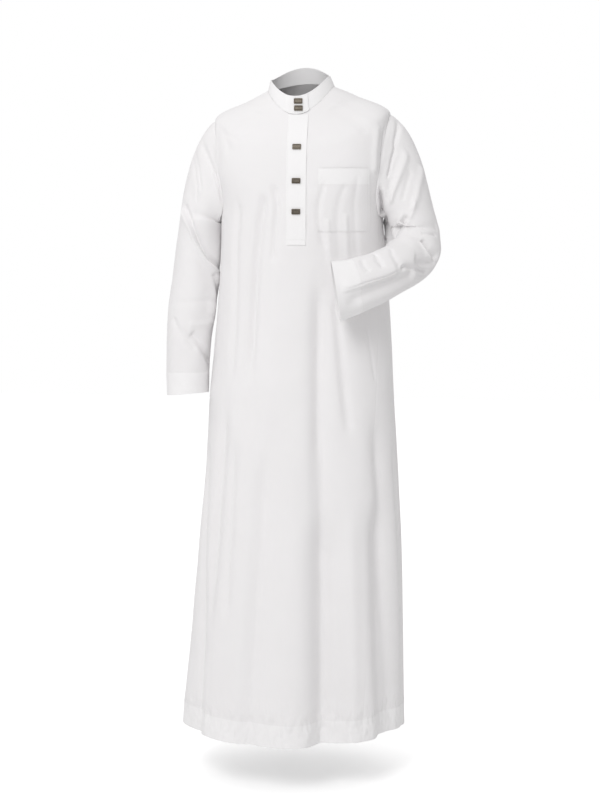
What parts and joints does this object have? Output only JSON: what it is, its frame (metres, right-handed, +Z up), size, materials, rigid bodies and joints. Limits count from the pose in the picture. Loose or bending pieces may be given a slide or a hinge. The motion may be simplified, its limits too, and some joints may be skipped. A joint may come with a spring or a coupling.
{
  "type": "thobe robe",
  "caption": "Long white thobe robe in its worn form, hollow and open, with a band collar, snap placket, chest pocket, side gores and one sleeve bent across the front.",
  "frame": {"origin": "middle of the neck opening at the collar's seam, where the wearer carries the robe", "axes": "+Z up along the robe, -Y out of its front, +X towards the wearer's left"},
  "size_m": [0.5835, 0.4085, 1.4133],
  "materials": {
    "robe_cloth": "fine plain weave with a soft dull sheen",
    "collar_cloth": "the same weave, stiffened and edge stitched",
    "stud_metal": "aged antique metal, ribbed face in a raised rim"
  },
  "bodies": {
    "root": {"front_panel": "robe_cloth", "back_panel": "robe_cloth", "side_gore_right": "robe_cloth", "side_gore_left": "robe_cloth", "sleeve_right": "robe_cloth", "sleeve_left": "robe_cloth", "collar_band": "collar_cloth", "front_placket": "collar_cloth", "chest_pocket": "robe_cloth", "snap_stud_1": "stud_metal", "snap_stud_2": "stud_metal", "snap_stud_3": "stud_metal", "snap_stud_4": "stud_metal", "snap_stud_5": "stud_metal"}
  },
  "joints": []
}
